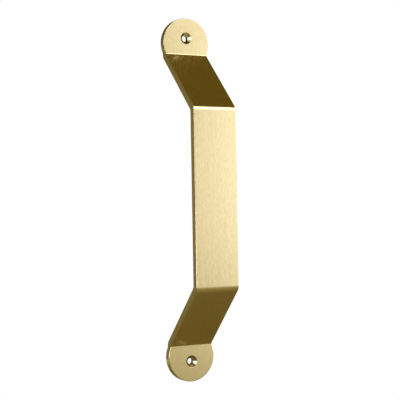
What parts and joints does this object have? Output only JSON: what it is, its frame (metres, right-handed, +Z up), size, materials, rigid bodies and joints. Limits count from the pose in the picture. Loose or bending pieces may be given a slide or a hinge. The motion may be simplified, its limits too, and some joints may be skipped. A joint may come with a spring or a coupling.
{
  "type": "sliding door pull",
  "caption": "Flat metal strap bent into a raised door grip on sloping legs, with round end tabs countersunk for face-fixing screws.",
  "frame": {"origin": "midway between the screw holes, on the plane of the door at the backs of the tabs", "axes": "+Z up along the pull, -Y out from the door towards the hand, +X to the right as seen from the front"},
  "size_m": [0.0414, 0.0535, 0.3],
  "materials": {
    "brushed_brass": "satin brushed along the length, clear coated"
  },
  "bodies": {
    "root": {"door_pull": "brushed_brass"}
  },
  "joints": []
}
